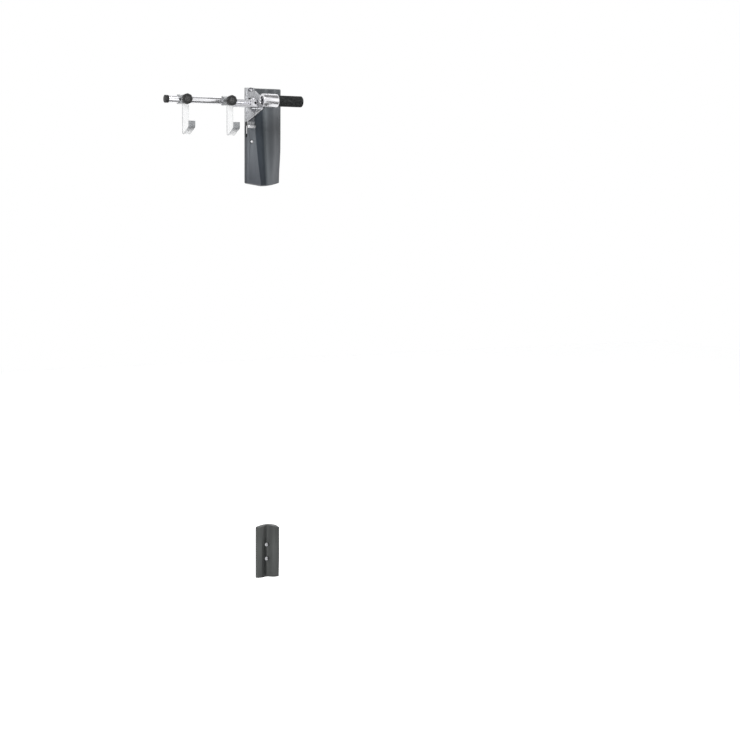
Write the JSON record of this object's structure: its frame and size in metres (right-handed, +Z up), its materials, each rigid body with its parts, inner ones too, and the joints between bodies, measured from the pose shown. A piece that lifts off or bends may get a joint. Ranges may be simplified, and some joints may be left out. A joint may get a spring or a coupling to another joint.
{
  "type": "wall bike holder",
  "caption": "Wall holder for a bike hung by its wheel: padded hook, moulded pads and a swinging bar with sliding accessory hooks.",
  "frame": {"origin": "on the wall plane, straight behind the padded rod and at the height of its axis", "axes": "+X along the wall to the right, +Y into the wall, +Z up"},
  "size_m": [0.3372, 0.1412, 1.189],
  "materials": {
    "silver_paint": "silver hammered paint",
    "polished_aluminium": "satin polished",
    "steel_fasteners": "zinc plated",
    "black_steel": "black oxide",
    "black_rubber": "matt with grip ribs",
    "grey_plastic": "moulded, fine grain",
    "dark_plastic": "moulded, fine grain",
    "black_plastic": "moulded",
    "clear_plastic": "clear, glossy"
  },
  "bodies": {
    "wall_mount": {"wall_bracket": "silver_paint", "bracket_screw": "steel_fasteners", "flange_screw_top": "steel_fasteners", "flange_screw_low": "steel_fasteners", "hook_boss": "polished_aluminium", "hook_bolt": "steel_fasteners", "hook_bolt_washer": "steel_fasteners", "hook_rod": "steel_fasteners", "hook_sleeve": "black_rubber", "front_pad": "grey_plastic", "front_pad_screw": "steel_fasteners", "rear_pad": "dark_plastic", "rear_pad_screw_top": "steel_fasteners", "rear_pad_screw_low": "steel_fasteners", "pivot_bolt": "steel_fasteners", "pivot_washer": "black_plastic", "pivot_nut": "steel_fasteners"},
    "accessory_bar": {"bar_yoke": "polished_aluminium", "yoke_grub_screw": "black_steel", "bar_tube": "polished_aluminium", "bar_end_cap": "black_plastic"},
    "left_clamp": {"left_clamp_liner": "clear_plastic"},
    "left_strap_hook": {"left_hook": "clear_plastic", "left_hook_insert": "steel_fasteners"},
    "left_clamp_knob": {"left_knob": "black_plastic", "left_knob_stud": "steel_fasteners"},
    "right_clamp": {"right_clamp_liner": "clear_plastic"},
    "right_strap_hook": {"right_hook": "clear_plastic", "right_hook_insert": "steel_fasteners"},
    "right_clamp_knob": {"right_knob": "black_plastic", "right_knob_stud": "steel_fasteners"}
  },
  "joints": [
    {"name": "bar_swing", "type": "hinge", "parent": "wall_mount", "child": "accessory_bar", "pos_m": [-0.062, -0.082, -0.0035], "axis": [0, 0, 1], "range_deg": [-10, 90]},
    {"name": "left_clamp_slide", "type": "slide", "parent": "accessory_bar", "child": "left_clamp", "axis": [1, 0, 0], "range_m": [-0.022, 0.042]},
    {"name": "left_hook_swivel", "type": "hinge", "parent": "left_clamp", "child": "left_strap_hook", "pos_m": [-0.2403, -0.082, -0.0035], "axis": [1, 0, 0], "range_deg": [-90, 45]},
    {"name": "left_knob_turn", "type": "hinge", "parent": "left_strap_hook", "child": "left_clamp_knob", "pos_m": [-0.2403, -0.1045, -0.0035], "axis": [0, -1, 0], "range_deg": [0, 540]},
    {"name": "right_clamp_slide", "type": "slide", "parent": "accessory_bar", "child": "right_clamp", "axis": [1, 0, 0], "range_m": [-0.042, 0.009]},
    {"name": "right_hook_swivel", "type": "hinge", "parent": "right_clamp", "child": "right_strap_hook", "pos_m": [-0.131, -0.082, -0.0035], "axis": [1, 0, 0], "range_deg": [-90, 45]},
    {"name": "right_knob_turn", "type": "hinge", "parent": "right_strap_hook", "child": "right_clamp_knob", "pos_m": [-0.131, -0.1045, -0.0035], "axis": [0, -1, 0], "range_deg": [0, 540]}
  ]
}
